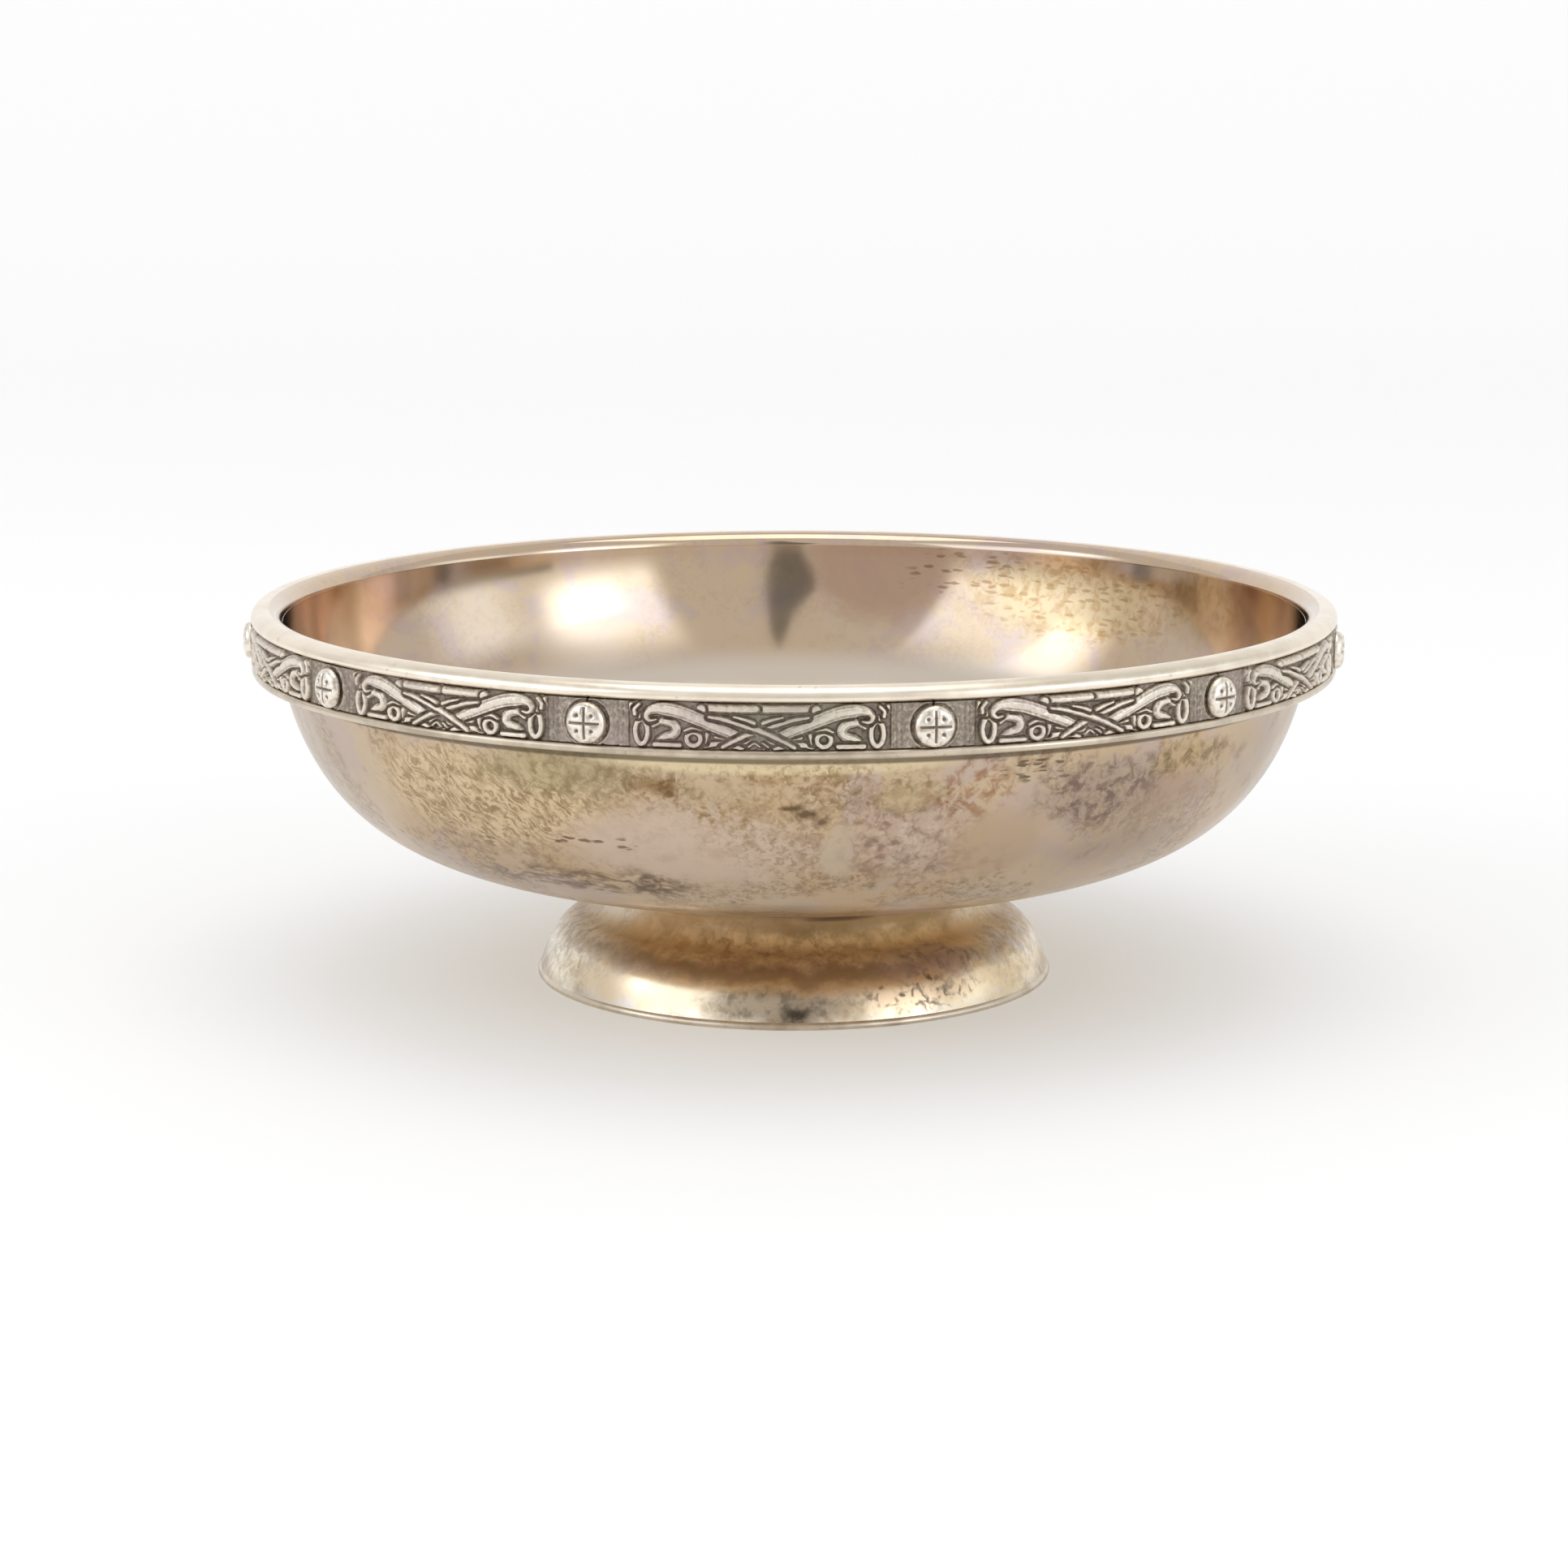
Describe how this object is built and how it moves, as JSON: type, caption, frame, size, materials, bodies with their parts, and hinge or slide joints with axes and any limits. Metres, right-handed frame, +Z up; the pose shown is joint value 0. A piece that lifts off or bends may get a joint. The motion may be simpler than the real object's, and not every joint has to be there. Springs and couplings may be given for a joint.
{
  "type": "footed dish",
  "caption": "Round silver dish on a hollow spreading foot, with a rounded rim and a band of interlace panels and roundels.",
  "frame": {"origin": "middle of the foot, on the plane that the dish stands on", "axes": "+Z up along the axis of the dish, -Y towards the side that faces the viewer, +X to the viewer's right"},
  "size_m": [0.149, 0.1491, 0.0521],
  "materials": {
    "bowl_silver": "smooth worn silver with a warm tarnish",
    "bright_silver": "bright rubbed silver",
    "dark_silver": "dull oxidised silver",
    "foot_silver": "smooth silver with a stronger warm tarnish",
    "ornament_silver": "cast silver, oxidised in the hollows and rubbed on the ribbons",
    "roundel_silver": "bright rubbed silver with dark cuts"
  },
  "bodies": {
    "root": {"bowl": "bowl_silver", "rim_wire": "bright_silver", "band_strip": "dark_silver", "border_wire": "bright_silver", "foot": "foot_silver", "foot_wire": "bright_silver", "interlace_panel_01": "ornament_silver", "interlace_panel_02": "ornament_silver", "interlace_panel_03": "ornament_silver", "interlace_panel_04": "ornament_silver", "interlace_panel_05": "ornament_silver", "interlace_panel_06": "ornament_silver", "interlace_panel_07": "ornament_silver", "interlace_panel_08": "ornament_silver", "interlace_panel_09": "ornament_silver", "interlace_panel_10": "ornament_silver", "interlace_panel_11": "ornament_silver", "roundel_01": "roundel_silver", "roundel_02": "roundel_silver", "roundel_03": "roundel_silver", "roundel_04": "roundel_silver", "roundel_05": "roundel_silver", "roundel_06": "roundel_silver", "roundel_07": "roundel_silver", "roundel_08": "roundel_silver", "roundel_09": "roundel_silver", "roundel_10": "roundel_silver", "roundel_11": "roundel_silver"}
  },
  "joints": []
}
